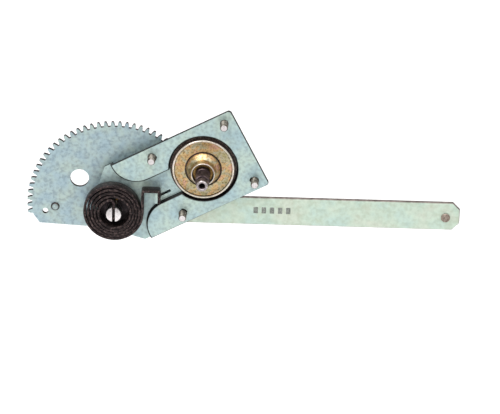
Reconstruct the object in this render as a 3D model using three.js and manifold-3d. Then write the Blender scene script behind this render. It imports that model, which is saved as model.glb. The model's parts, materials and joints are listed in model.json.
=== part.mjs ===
// A hand-cranked window regulator: a serrated spindle turns a pinion through a wrap-spring brake,
// the pinion swings a toothed sector, and the lift arm riveted to the sector raises the glass.
// A flat spiral spring between the base plate and the sector's stud carries the glass's weight.
//
// Millimetres. x runs along the lift arm, y up, z towards the crank, with the origin on the
// spindle's axis in the mounting face of the base plate. The last group stands z up.

import * as THREE from 'three';
import { mergeVertices } from 'three/addons/utils/BufferGeometryUtils.js';
import Module from 'manifold-3d';

const wasm = await Module();
wasm.setup();

// ---- Driving sizes ------------------------------------------------------------------------

const contactGap = 0.3; // between pieces that touch
const runningClearance = 0.15; // between a turning shaft and its bearing, on the radius
const sheet = 2; // base plate
const thinSheet = 1; // drum, cover, flanges and washers
const clipSheet = 0.8;
const thinWasher = 0.7;
const grooveClearance = 0.1; // each side of a clip
const armSheet = 3;
const sectorSheet = 3;

const gearModule = 1.75;
const sectorTeeth = 76; // on the whole circle
const pinionTeeth = 12;
const pressureAngle = THREE.MathUtils.degToRad( 20 );
const toothThinning = 0.16; // of a tooth's width at the pitch circle
const firstTooth = - 3; // tooth numbers from the line of centres
const lastTooth = 33;
const addendum = 0.95; // of the module, as the next one
const dedendum = 1.25;

const plateAngle = THREE.MathUtils.degToRad( 28 ); // from the arm to the line of centres
const studSpanX = 62;
const studSpanY = 52;
const studEdgeX = 9; // from a stud's axis to the plate's edge
const studEdgeY = 7.75;
const studRadius = 3;
const studLength = 10;
const studHeadRadius = 5;
const studHead = 1.2;
const studChamfer = 0.8;
const plateCorner = 2.5;
const landEndFromPivot = 9; // the raised land stops this far short of the pivot
const tongueRadius = 18;

const recessDepth = 4;
const recessRadius = 26;
const neckHalf = 10.6;
const flareRadius = 20.8;
const flareFromPivot = 35;

const lugPlace = { x: 32.5, y: 13.2 }; // its middle, from the pivot along and above the arm
const lugWidth = 8.6;
const lugTop = 6.2;
const windowFromPivot = 36; // along the line of centres
const windowLength = 9.6;
const windowOffset = - 2.6; // its middle, below the line of centres

const drumRadius = 23.8;
const drumFlange = 1.7;
const drumBack = - 7;
const drumRim = 1.5;
const coverFace = 0.5;
const bossFootRadius = 13.7;
const bossRadius = 9.1;
const bossConeTop = 5;
const bossTop = 12;
const drumBushWall = 1.5;
const drumBushFlange = 2; // past its wall
const drumBushFlangeSheet = 0.8;
const spindleBushLength = 4.5;

const spindleRadius = 5.5;
const spindleNeckRadius = 4;
const serrations = 36;
const serrationDepth = 0.45;
const serrationFrom = 14;
const serrationTo = 27;
const spindleTipRadius = 4.3;
const spindleTop = 35;
const tapRadius = 2.1;
const tapDepth = 12;
const tipChamfer = 0.7;
const hubWall = 2.5; // of the pinion's hub
const spindleGrooveDepth = 0.7;
const spindleEnd = 1.2; // past its clip
const spindleClipOpening = 1.2; // radians

const pivotRadius = 6;
const pivotNeckRadius = 5;
const pivotHeadRadius = 7.5;
const pivotTop = 10;
const pivotChamfer = 1;
const pivotHead = 1.8;
const pivotGrooveDepth = 0.9;
const pivotBushWall = 2;
const pivotBushFlange = 3; // past its wall
const pivotClipRim = 7; // a wide horseshoe washer, seen through the spring
const pivotClipOpening = 0.7; // radians

const springOuterRadius = 22.9;
const springInnerRadius = 10.4;
const springStrip = 1.7;
const springWidth = 9.5;
const springTurns = 5;
const springBend = 3;
const springTail = 5; // past the stud's axis
const springHookLength = 9.8; // down the lug's far side
const springHookBend = 1.2;

const armWidth = 22.6;
const armDrop = 0.8; // its middle line, below the pivot's axis
const armLength = 267; // pivot to free end
const armChamfer = 5.7;
const rollerFromEnd = 11;
const rollerDrop = 1.8; // its axis, below the pivot's
const armRivets = [ 25, 44 ]; // from the pivot
const rivetRadius = 3;
const rivetHeadRadius = 5;
const rivetHead = 0.9;

const accessHole = { x: - 27.6, y: 21.3, radius: 7.3 };
const smallHole = { x: - 54.2, y: - 6.9, radius: 2.3 };
const stopRivet = { x: - 46.5, y: - 2.9, radius: 2, headRadius: 3.4, head: 1.6 };
const sectorHeel = { x: - 58.7, y: - 17 };
const sectorKnee = { x: - 22, y: - 18.9 };
const sectorToe = { x: 52, y: - 9.4 };

const rollerRadius = 8;
const rollerWidth = 6;
const rollerStudRadius = 3;
const rollerHeadRadius = 6;
const rollerHead = 1.5;
const rollerEdge = 0.8;
const peenRadius = 3.6; // the roller stud's end, spread on the arm
const peenHeight = 1.2;

const wireRadius = 0.8;
const wrapTurns = 2;
const wrapPitch = 1.65;
const wrapTang = 4;
const wrapTangAngle = 0.5;
const dogThickness = 1.5;
const dogWall = 3;

// ---- Sizes that follow ----------------------------------------------------------------------

const centreDistance = gearModule * ( sectorTeeth + pinionTeeth ) / 2;
const plateHalf = studSpanY / 2 + studEdgeY;
const plateRight = studSpanX / 2 + studEdgeX;
const landLeft = - centreDistance + landEndFromPivot;

const floorFront = - recessDepth;
const floorBack = floorFront - sheet;
const bushFlangeFront = floorBack - contactGap;
const armFront = bushFlangeFront - thinSheet - contactGap;
const armBack = armFront - armSheet;
const sectorFront = armBack - contactGap;
const sectorBack = sectorFront - sectorSheet;
const rearWasherFront = sectorBack - contactGap;
const rearHeadFront = rearWasherFront - thinSheet - contactGap;

const clipBack = floorFront + contactGap;
const springBack = clipBack + clipSheet + 2 * contactGap;

const drumInside = drumRadius - thinSheet;
const drumFloor = drumBack + thinSheet;
const coverBack = coverFace - thinSheet;
const drumBushFront = drumFloor + contactGap + drumBushFlangeSheet;
const outputDogBack = drumBushFront + contactGap;
const inputDogBack = outputDogBack + dogThickness + contactGap;
const hubRadius = spindleNeckRadius + hubWall;

const rollerX = armLength - rollerFromEnd;
const rollerWasherFront = armBack - contactGap;
const rollerFront = rollerWasherFront - thinWasher - contactGap;
const rollerBack = rollerFront - rollerWidth;

// ---- Materials ------------------------------------------------------------------------------

const metal = ( color, roughness, metalness = 0.9 ) =>
	new THREE.MeshStandardMaterial( { color, roughness, metalness } );
const zincPlate = metal( 0xbccdc9, 0.42 );
const zincSector = metal( 0xa0b3b8, 0.45 );
const zincArm = metal( 0xcad8cd, 0.4 );
const brightSteel = metal( 0xd6d8d6, 0.3 );
const yellowZinc = metal( 0xbd9f74, 0.38 );
const darkSteel = metal( 0x2e2827, 0.5 );
const bronze = metal( 0x9c7b4a, 0.45 );
const springSteel = metal( 0x2b2524, 0.55 );
const nylon = metal( 0xe4e0d2, 0.6, 0 );

// ---- Solids ---------------------------------------------------------------------------------

const point = ( x, y ) => new THREE.Vector2( x, y );
const polar = ( radius, angle ) => point( radius * Math.cos( angle ), radius * Math.sin( angle ) );
const turnBy = ( angle, x, y ) => point( x, y ).rotateAround( point( 0, 0 ), angle );

function solid( geometry ) {

	const bare = geometry.clone();
	bare.deleteAttribute( 'normal' );
	bare.deleteAttribute( 'uv' );
	const merged = mergeVertices( bare, 1e-4 );
	return new wasm.Manifold( new wasm.Mesh( {
		numProp: 3,
		vertProperties: new Float32Array( merged.attributes.position.array ),
		triVerts: new Uint32Array( merged.index.array ),
	} ) );

}

function surface( body ) {

	const mesh = body.getMesh();
	const geometry = new THREE.BufferGeometry();
	geometry.setAttribute( 'position', new THREE.BufferAttribute( mesh.vertProperties, 3 ) );
	geometry.setIndex( new THREE.BufferAttribute( mesh.triVerts, 1 ) );
	geometry.computeVertexNormals();
	return geometry;

}

function node( name, shape, material ) {

	const geometry = shape.isBufferGeometry ? shape : surface( shape );
	const mesh = new THREE.Mesh( geometry, material );
	mesh.name = name;
	return mesh;

}

// A flat outline between two heights.
function slab( outline, back, front ) {

	const shape = new THREE.Shape( outline );
	const geometry = new THREE.ExtrudeGeometry( shape, { depth: front - back, bevelEnabled: false } );
	return geometry.translate( 0, 0, back );

}

const slabSolid = ( ...values ) => solid( slab( ...values ) );

// A turned piece on the z axis. Its profile is [ radius, z ] pairs with the outside rising.
function turned( profile, segments = 32 ) {

	const outline = profile.map( ( [ radius, z ] ) => point( radius, z ) );
	return new THREE.LatheGeometry( outline, segments ).rotateX( Math.PI / 2 );

}

function ring( inner, outer, back, front, segments = 32 ) {

	const corners = [ [ inner, back ], [ outer, back ], [ outer, front ], [ inner, front ], [ inner, back ] ];
	return turned( corners, segments );

}

function rod( radius, back, front, x = 0, y = 0, segments = 32 ) {

	const corners = [ [ 0, back ], [ radius, back ], [ radius, front ], [ 0, front ] ];
	return turned( corners, segments ).translate( x, y, 0 );

}

const rodSolid = ( ...values ) => solid( rod( ...values ) );

function box( left, right, low, high, back, front ) {

	const geometry = new THREE.BoxGeometry( right - left, high - low, front - back );
	geometry.translate( ( left + right ) / 2, ( low + high ) / 2, ( back + front ) / 2 );
	return solid( geometry );

}

function arc( x, y, radius, from, to, steps ) {

	return Array.from( { length: steps + 1 }, ( _, i ) =>
		polar( radius, from + ( to - from ) * i / steps ).add( point( x, y ) ) );

}

// An open line with its inner corners turned into arcs.
function rounded( corners, radius, steps = 6 ) {

	const line = [ corners[ 0 ] ];
	for ( let i = 1; i < corners.length - 1; i ++ ) {

		const back = corners[ i - 1 ].clone().sub( corners[ i ] ).normalize();
		const ahead = corners[ i + 1 ].clone().sub( corners[ i ] ).normalize();
		const half = Math.acos( back.dot( ahead ) ) / 2;
		const middle = back.clone().add( ahead ).normalize();
		const centre = corners[ i ].clone().addScaledVector( middle, radius / Math.sin( half ) );
		const start = corners[ i ].clone().addScaledVector( back, radius / Math.tan( half ) ).sub( centre );
		const turn = ( Math.PI - 2 * half ) * Math.sign( ahead.cross( back ) );
		for ( let k = 0; k <= steps; k ++ ) {

			line.push( start.clone().rotateAround( point( 0, 0 ), turn * k / steps ).add( centre ) );

		}

	}

	line.push( corners[ corners.length - 1 ] );
	return line;

}

// The outline of a strip of even thickness along a line.
function strip( line, thickness ) {

	const side = ( offset ) => line.map( ( here, i ) => {

		const before = line[ Math.max( i - 1, 0 ) ];
		const after = line[ Math.min( i + 1, line.length - 1 ) ];
		const along = after.clone().sub( before ).normalize();
		return point( here.x - along.y * offset, here.y + along.x * offset );

	} );
	return [ ...side( - thickness / 2 ), ...side( thickness / 2 ).reverse() ];

}

// ---- Gear teeth -----------------------------------------------------------------------------

const involute = ( angle ) => Math.tan( angle ) - angle;

// Half the angle that a tooth fills at a radius.
function toothHalf( teeth, radius ) {

	const pitchRadius = gearModule * teeth / 2;
	const baseRadius = pitchRadius * Math.cos( pressureAngle );
	const half = ( Math.PI * gearModule / 2 - toothThinning ) / 2 / pitchRadius;
	const here = Math.acos( Math.min( 1, baseRadius / radius ) );
	return half + involute( pressureAngle ) - involute( here );

}

// One tooth's outline, from its right root to its left root.
function tooth( teeth, middle, rootShare ) {

	const pitchRadius = gearModule * teeth / 2;
	const root = pitchRadius - dedendum * gearModule;
	const tip = pitchRadius + addendum * gearModule;
	const flank = [ pitchRadius - 0.45 * gearModule, pitchRadius + 0.3 * gearModule, tip ];
	const halves = flank.map( ( radius ) => toothHalf( teeth, radius ) );
	const right = [ polar( root, middle - halves[ 0 ] * rootShare ) ];
	const left = [ polar( root, middle + halves[ 0 ] * rootShare ) ];
	flank.forEach( ( radius, i ) => {

		right.push( polar( radius, middle - halves[ i ] ) );
		left.unshift( polar( radius, middle + halves[ i ] ) );

	} );
	return [ ...right, ...left ];

}

// ---- Base plate -----------------------------------------------------------------------------
// Built in the plate's own frame: x from the pivot to the spindle.

const pivotX = - centreDistance;
const windowX = pivotX + windowFromPivot;

const studPlaces = [ - 1, 1 ].flatMap( ( down ) =>
	[ - 1, 1 ].map( ( across ) => point( across * studSpanX / 2, down * studSpanY / 2 ) ) );

function plateOutline() {

	const corner = point( landLeft - pivotX, plateHalf );
	const tangent = corner.angle() + Math.acos( tongueRadius / corner.length() );
	const right = plateRight - plateCorner;
	const top = plateHalf - plateCorner;
	return [
		...arc( right, top, plateCorner, 0, Math.PI / 2, 4 ),
		point( landLeft, plateHalf ),
		...arc( pivotX, 0, tongueRadius, tangent, 2 * Math.PI - tangent, 20 ),
		point( landLeft, - plateHalf ),
		...arc( right, - top, plateCorner, - Math.PI / 2, 0, 4 ),
	];

}

// The keyhole recess, grown outwards by an amount.
function recessOutline( grow ) {

	const radius = recessRadius + grow;
	const neck = neckHalf + grow;
	const flareX = pivotX + flareFromPivot;
	const flareY = neckHalf + flareRadius;
	const far = pivotX - tongueRadius - 5;
	const mouth = Math.PI - Math.asin( neck / radius );
	const edge = plateHalf + 5;
	return [
		...arc( 0, 0, radius, - mouth, mouth, 40 ),
		...arc( flareX, flareY, flareRadius - grow, - Math.PI / 2, - Math.PI, 10 ),
		point( flareX - flareRadius + grow, edge ),
		point( far, edge ),
		point( far, - edge ),
		point( flareX - flareRadius + grow, - edge ),
		...arc( flareX, - flareY, flareRadius - grow, Math.PI, Math.PI / 2, 10 ),
	];

}

function basePlate() {

	const far = 2 * centreDistance;
	const blank = slabSolid( plateOutline(), floorBack, 0 );
	const press = slabSolid( recessOutline( 0 ), floorFront, 1 );
	const under = box( - far, far, - far, far, floorBack - 1, - sheet )
		.subtract( slabSolid( recessOutline( sheet ), floorBack - 2, 0 ) );
	const low = windowOffset - lugWidth / 2;
	const high = windowOffset + lugWidth / 2;
	const cuts = [
		rodSolid( drumRadius + contactGap, floorBack - 1, 1, 0, 0, 40 ),
		rodSolid( pivotRadius + pivotBushWall + contactGap, floorBack - 1, 1, pivotX, 0 ),
		box( windowX, windowX + windowLength, low, high, floorBack - 1, 1 ),
		...studPlaces.map( ( at ) => rodSolid( studRadius + contactGap, - sheet - 1, 1, at.x, at.y, 16 ) ),
	];
	const lugMiddle = turnBy( - plateAngle, lugPlace.x, lugPlace.y );
	const lug = new THREE.BoxGeometry( sheet, lugWidth, lugTop - floorBack );
	lug.rotateZ( - plateAngle );
	lug.translate( pivotX + lugMiddle.x, lugMiddle.y, ( lugTop + floorBack ) / 2 );
	const pressed = blank.subtract( press ).subtract( under );
	return cuts.reduce( ( body, cut ) => body.subtract( cut ), pressed ).add( solid( lug ) );

}

function mountStud() {

	const headFront = - sheet - contactGap;
	const headBack = headFront - studHead;
	return turned( [
		[ 0, headBack ], [ studHeadRadius, headBack ], [ studHeadRadius, headFront ], [ studRadius, headFront ],
		[ studRadius, studLength - studChamfer ], [ studRadius - studChamfer, studLength ], [ 0, studLength ],
	], 16 );

}

// ---- Brake ----------------------------------------------------------------------------------

function brakeDrum() {

	const flangeBack = floorFront + contactGap;
	const flangeFront = flangeBack + thinSheet;
	const hole = hubRadius + drumBushWall + contactGap;
	return turned( [
		[ hole, drumBack ], [ drumRadius, drumBack ], [ drumRadius, flangeBack ],
		[ drumRadius + drumFlange, flangeBack ], [ drumRadius + drumFlange, flangeFront ],
		[ drumRadius, flangeFront ], [ drumRadius, drumRim ], [ drumInside, drumRim ],
		[ drumInside, drumFloor ], [ hole, drumFloor ], [ hole, drumBack ],
	], 40 );

}

function brakeCover() {

	const edge = drumInside - contactGap;
	const boreTop = bossRadius - thinSheet;
	return turned( [
		[ bossFootRadius - thinSheet, coverBack ], [ edge, coverBack ], [ edge, coverFace ],
		[ bossFootRadius, coverFace ], [ bossRadius, bossConeTop ], [ bossRadius, bossTop ],
		[ boreTop, bossTop ], [ boreTop, bossConeTop - thinSheet / 2 ], [ bossFootRadius - thinSheet, coverBack ],
	], 40 );

}

// The brake spring: two turns of wire with a tang bent inwards at each end.
function wrapSpring() {

	const radius = drumInside - 1.5 * contactGap - wireRadius;
	const back = drumFloor + contactGap + wireRadius;
	const front = back + wrapTurns * wrapPitch;
	const steps = 20 * wrapTurns;
	const sweep = wrapTurns * 2 * Math.PI - 2 * wrapTangAngle;
	const place = ( r, angle, z ) => new THREE.Vector3( r * Math.cos( angle ), r * Math.sin( angle ), z );
	const coil = Array.from( { length: steps + 1 }, ( _, i ) =>
		place( radius, wrapTangAngle + sweep * i / steps, back + ( front - back ) * i / steps ) );
	const bent = wrapTangAngle - 0.05;
	const first = place( radius - wrapTang, bent, back );
	const last = place( radius - wrapTang, - bent, front );
	const line = new THREE.CatmullRomCurve3( [ first, ...coil, last ] );
	const section = new THREE.Shape( arc( 0, 0, wireRadius, 0, 2 * Math.PI * 5 / 6, 5 ) );
	return new THREE.ExtrudeGeometry( section, { steps: steps + 8, extrudePath: line, bevelEnabled: false } );

}

// A ring on the shaft with one finger that pushes on the brake spring's tangs.
function dog( bore, halfAngle, middle, back ) {

	const hub = bore + dogWall;
	const reach = drumInside - 2 * wireRadius - 5 * contactGap;
	const start = middle + halfAngle;
	const outline = [
		...arc( 0, 0, reach, middle - halfAngle, start, 14 ),
		...arc( 0, 0, hub, start, start + 2 * ( Math.PI - halfAngle ), 24 ),
	];
	return slabSolid( outline, back, back + dogThickness ).subtract( rodSolid( bore, back - 1, back + 3 ) );

}

function spindleBush() {

	const outside = bossRadius - thinSheet - contactGap;
	const bore = spindleRadius + runningClearance;
	return ring( bore, outside, bossConeTop, bossConeTop + spindleBushLength );

}

function drumBush() {

	const bore = hubRadius + runningClearance;
	const outside = hubRadius + drumBushWall;
	const flangeRadius = outside + drumBushFlange;
	const flangeBack = drumFloor + contactGap;
	return turned( [
		[ bore, drumBack ], [ outside, drumBack ], [ outside, flangeBack ], [ flangeRadius, flangeBack ],
		[ flangeRadius, drumBushFront ], [ bore, drumBushFront ], [ bore, drumBack ],
	] );

}

// ---- Spindle and pinion ---------------------------------------------------------------------

const pinionFront = armBack - contactGap;
const pinionBack = sectorBack - contactGap;
const hubFront = inputDogBack - contactGap;
const pinionWasherFront = pinionBack - contactGap;
const spindleClipFront = pinionWasherFront - thinWasher - contactGap;
const spindleClipBack = spindleClipFront - clipSheet;
const spindleBottom = spindleClipBack - spindleEnd;

function crankSpindle() {

	const shoulder = hubFront + contactGap;
	const grooveBack = spindleClipBack - grooveClearance;
	const grooveFront = spindleClipFront + grooveClearance;
	const grooveRadius = spindleNeckRadius - spindleGrooveDepth;
	const shaft = solid( turned( [
		[ 0, spindleBottom ], [ spindleNeckRadius, spindleBottom ], [ spindleNeckRadius, grooveBack ],
		[ grooveRadius, grooveBack ], [ grooveRadius, grooveFront ], [ spindleNeckRadius, grooveFront ],
		[ spindleNeckRadius, shoulder ], [ spindleRadius, shoulder ], [ spindleRadius, serrationFrom ],
		[ spindleTipRadius, serrationFrom + 1 ], [ spindleTipRadius, spindleTop - tipChamfer ],
		[ spindleTipRadius - tipChamfer, spindleTop ], [ 0, spindleTop ],
	] ) );
	const step = Math.PI / serrations;
	const teeth = Array.from( { length: 2 * serrations }, ( _, i ) =>
		polar( spindleRadius - ( i % 2 ) * serrationDepth, i * step ) );
	const grip = slabSolid( teeth, serrationFrom - 0.5, serrationTo );
	const tap = rodSolid( tapRadius, spindleTop - tapDepth, spindleTop + 1, 0, 0, 20 );
	return shaft.add( grip ).subtract( tap );

}

function pinion() {

	const pitch = 2 * Math.PI / pinionTeeth;
	const towardsPivot = plateAngle + Math.PI;
	const outline = Array.from( { length: pinionTeeth }, ( _, i ) =>
		tooth( pinionTeeth, towardsPivot + i * pitch, 0.72 ) ).flat();
	const hub = rodSolid( hubRadius, pinionFront - 0.5, hubFront );
	const bore = rodSolid( spindleNeckRadius + contactGap, pinionBack - 1, hubFront + 1 );
	return slabSolid( outline, pinionBack, pinionFront ).add( hub ).subtract( bore );

}

// An open spring clip that snaps into a groove.
function clip( inner, outer, back, openAngle ) {

	const half = openAngle / 2;
	const outline = [
		...arc( 0, 0, outer, half, 2 * Math.PI - half, 20 ),
		...arc( 0, 0, inner, 2 * Math.PI - half, half, 20 ),
	];
	return slab( outline, back, back + clipSheet );

}

// ---- Sector and lift arm --------------------------------------------------------------------
// Built about the pivot.

function sectorGear() {

	const pitch = 2 * Math.PI / sectorTeeth;
	const count = lastTooth - firstTooth + 1;
	const angleOf = ( number ) => plateAngle + ( number + 0.5 ) * pitch;
	const root = gearModule * ( sectorTeeth / 2 - dedendum );
	const teeth = Array.from( { length: count }, ( _, i ) =>
		tooth( sectorTeeth, angleOf( firstTooth + i ), 1.12 ) );
	const outline = [
		point( sectorToe.x, sectorToe.y ),
		polar( root, angleOf( firstTooth ) - pitch / 2 ),
		...teeth.flat(),
		polar( root, angleOf( lastTooth ) + pitch / 2 ),
		point( sectorHeel.x, sectorHeel.y ),
		point( sectorKnee.x, sectorKnee.y ),
	];
	const holes = [
		[ accessHole.radius, accessHole.x, accessHole.y ],
		[ smallHole.radius, smallHole.x, smallHole.y ],
		[ stopRivet.radius + contactGap, stopRivet.x, stopRivet.y ],
		[ pivotNeckRadius + contactGap, 0, 0 ],
		...armRivets.map( ( x ) => [ rivetRadius + contactGap, x, 0 ] ),
	];
	const cut = ( body, [ radius, x, y ] ) =>
		body.subtract( rodSolid( radius, sectorBack - 1, sectorFront + 1, x, y, 20 ) );
	return holes.reduce( cut, slabSolid( outline, sectorBack, sectorFront ) );

}

function liftArm() {

	const half = armWidth / 2;
	const outline = [
		...arc( 0, - armDrop, half, Math.PI / 2, Math.PI * 1.5, 16 ),
		point( armLength - armChamfer, - half - armDrop ),
		point( armLength, armChamfer - half - armDrop ),
		point( armLength, half - armChamfer - armDrop ),
		point( armLength - armChamfer, half - armDrop ),
	];
	const holes = [
		[ pivotNeckRadius + contactGap, 0, 0 ],
		[ rollerStudRadius + contactGap, rollerX, - rollerDrop ],
		...armRivets.map( ( x ) => [ rivetRadius + contactGap, x, 0 ] ),
	];
	const cut = ( body, [ radius, x, y ] ) =>
		body.subtract( rodSolid( radius, armBack - 1, armFront + 1, x, y, 20 ) );
	return holes.reduce( cut, slabSolid( outline, armBack, armFront ) );

}

// A rivet through a stack, with a head at each end.
function rivet( radius, back, front, rear, peen ) {

	const crown = 0.75; // of a head's radius
	return turned( [
		[ 0, back - rear.height ], [ rear.radius * crown, back - rear.height ],
		[ rear.radius, back - rear.height / 2 ], [ rear.radius, back ], [ radius, back ], [ radius, front ],
		[ peen.radius, front ], [ peen.radius, front + peen.height / 2 ],
		[ peen.radius * crown, front + peen.height ], [ 0, front + peen.height ],
	], 16 );

}

function pivotStud() {

	const shoulder = armFront + contactGap;
	const headBack = rearHeadFront - pivotHead;
	const grooveBack = clipBack - grooveClearance;
	const grooveFront = clipBack + clipSheet + grooveClearance;
	const grooveRadius = pivotRadius - pivotGrooveDepth;
	const body = solid( turned( [
		[ 0, headBack ], [ pivotHeadRadius - pivotChamfer, headBack ],
		[ pivotHeadRadius, headBack + pivotChamfer ], [ pivotHeadRadius, rearHeadFront ],
		[ pivotNeckRadius, rearHeadFront ], [ pivotNeckRadius, shoulder ],
		[ pivotRadius, shoulder ], [ pivotRadius, grooveBack ], [ grooveRadius, grooveBack ],
		[ grooveRadius, grooveFront ], [ pivotRadius, grooveFront ], [ pivotRadius, pivotTop - pivotChamfer ],
		[ pivotRadius - pivotChamfer, pivotTop ], [ 0, pivotTop ],
	] ) );
	const half = springStrip / 2 + contactGap;
	const reach = 2 * pivotRadius;
	return body.subtract( box( - half, half, - reach, reach, springBack - contactGap, pivotTop + 1 ) );

}

function pivotBush() {

	const bore = pivotRadius + runningClearance;
	const outside = pivotRadius + pivotBushWall;
	const flangeRadius = outside + pivotBushFlange;
	const flangeBack = bushFlangeFront - thinSheet;
	return turned( [
		[ bore, flangeBack ], [ flangeRadius, flangeBack ], [ flangeRadius, bushFlangeFront ],
		[ outside, bushFlangeFront ], [ outside, floorFront ], [ bore, floorFront ], [ bore, flangeBack ],
	] );

}

// The flat spiral spring: hooked over the plate's lug, wound inwards clockwise, and led through
// the stud's slot.
function balanceSpring() {

	const outer = springOuterRadius - springStrip / 2;
	const inner = springInnerRadius + springStrip / 2;
	const bendY = Math.sqrt( ( inner - springBend ) ** 2 - springBend ** 2 );
	const bendFrom = Math.atan2( bendY, - springBend );
	const sweep = springTurns * 2 * Math.PI - bendFrom;
	const across = lugPlace.x + sheet / 2 + contactGap + springStrip / 2;
	const top = lugPlace.y + lugWidth / 2 + contactGap + springStrip / 2;
	const end = point( across, top - springHookLength );
	const hook = rounded( [ end, point( across, top ), point( outer, top ), point( outer, 0 ) ],
		springHookBend );
	hook.pop();
	const steps = Math.round( springTurns * 26 );
	const coil = Array.from( { length: steps + 1 }, ( _, i ) =>
		polar( outer + ( inner - outer ) * i / steps, - sweep * i / steps ) );
	coil.pop();
	const bend = arc( - springBend, bendY, springBend, bendFrom, 0, 6 );
	const line = [ ...hook, ...coil, ...bend, point( 0, - springTail ) ];
	return slab( strip( line, springStrip ), springBack, springBack + springWidth );

}

// ---- Roller ---------------------------------------------------------------------------------

function roller() {

	const bore = rollerStudRadius + runningClearance;
	const face = rollerRadius - rollerEdge;
	return turned( [
		[ bore, rollerBack ], [ face, rollerBack ], [ rollerRadius, rollerBack + rollerEdge ],
		[ rollerRadius, rollerFront - rollerEdge ], [ face, rollerFront ], [ bore, rollerFront ],
		[ bore, rollerBack ],
	] );

}

// ---- Assembly -------------------------------------------------------------------------------

const plateGroup = new THREE.Group();
plateGroup.rotation.z = plateAngle;
plateGroup.add( node( 'base_plate', basePlate(), zincPlate ) );
studPlaces.forEach( ( at, i ) => {

	const stud = node( `mount_stud_${ i + 1 }`, mountStud(), brightSteel );
	stud.position.set( at.x, at.y, 0 );
	plateGroup.add( stud );

} );

const brakeGroup = new THREE.Group();
brakeGroup.add(
	node( 'brake_drum', brakeDrum(), yellowZinc ),
	node( 'brake_cover', brakeCover(), yellowZinc ),
	node( 'drum_bush', drumBush(), bronze ),
	node( 'spindle_bush', spindleBush(), bronze ),
);

const pinionWasher = ring( spindleNeckRadius + contactGap, spindleNeckRadius + 3.5,
	pinionWasherFront - thinWasher, pinionWasherFront );
const spindleClip = clip( spindleNeckRadius - spindleGrooveDepth / 2, spindleNeckRadius + 2.5,
	spindleClipBack, spindleClipOpening );
const crankGroup = new THREE.Group();
crankGroup.add(
	node( 'crank_spindle', crankSpindle(), darkSteel ),
	node( 'wrap_spring', wrapSpring(), springSteel ),
	node( 'input_dog', dog( spindleRadius + contactGap, 0.3, 0, inputDogBack ), brightSteel ),
	node( 'output_dog', dog( hubRadius + contactGap, 2.3, Math.PI, outputDogBack ), brightSteel ),
	node( 'drive_pinion', pinion(), darkSteel ),
	node( 'pinion_washer', pinionWasher, brightSteel ),
	node( 'spindle_clip', spindleClip, darkSteel ),
);

const pivot = polar( - centreDistance, plateAngle );
const pivotClip = clip( pivotRadius - pivotGrooveDepth / 2, pivotRadius + pivotClipRim,
	clipBack, pivotClipOpening );
const pivotWasher = ring( pivotNeckRadius + contactGap, pivotHeadRadius + 1,
	rearWasherFront - thinSheet, rearWasherFront );
const pivotGroup = new THREE.Group();
pivotGroup.position.set( pivot.x, pivot.y, 0 );
pivotGroup.add(
	node( 'pivot_bush', pivotBush(), bronze ),
	node( 'balance_spring', balanceSpring(), springSteel ),
	node( 'sector_gear', sectorGear(), zincSector ),
	node( 'lift_arm', liftArm(), zincArm ),
	node( 'pivot_stud', pivotStud(), brightSteel ),
	node( 'pivot_clip', pivotClip, darkSteel ),
	node( 'pivot_washer', pivotWasher, brightSteel ),
);

const stackBack = sectorBack - contactGap;
const rivetEnd = { radius: rivetHeadRadius, height: rivetHead };
armRivets.forEach( ( x, i ) => {

	const shape = rivet( rivetRadius, stackBack, armFront + contactGap, rivetEnd, rivetEnd );
	const piece = node( `arm_rivet_${ i + 1 }`, shape, brightSteel );
	piece.position.x = x;
	pivotGroup.add( piece );

} );

const stopBack = { radius: stopRivet.headRadius, height: rivetHead };
const stopFront = { radius: stopRivet.headRadius, height: stopRivet.head };
const stopShape = rivet( stopRivet.radius, stackBack, sectorFront + contactGap, stopBack, stopFront );
const stop = node( 'stop_rivet', stopShape, brightSteel );
stop.position.set( stopRivet.x, stopRivet.y, 0 );
pivotGroup.add( stop );

const rollerWasher = ring( rollerStudRadius + contactGap, rollerHeadRadius,
	rollerWasherFront - thinWasher, rollerWasherFront );
const rollerStud = rivet( rollerStudRadius, rollerBack - contactGap, armFront + contactGap,
	{ radius: rollerHeadRadius, height: rollerHead }, { radius: peenRadius, height: peenHeight } );
const rollerGroup = new THREE.Group();
rollerGroup.position.set( rollerX, - rollerDrop, 0 );
rollerGroup.add(
	node( 'roller', roller(), nylon ),
	node( 'roller_washer', rollerWasher, brightSteel ),
	node( 'roller_stud', rollerStud, darkSteel ),
);
pivotGroup.add( rollerGroup );

const regulator = new THREE.Group();
regulator.rotation.x = Math.PI / 2;
regulator.add( plateGroup, brakeGroup, crankGroup, pivotGroup );

export default regulator;
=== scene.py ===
import bpy
import bmesh
import json
from math import atan2, cos, hypot, pi, radians, sin, sqrt
from mathutils import Matrix, Vector


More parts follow.
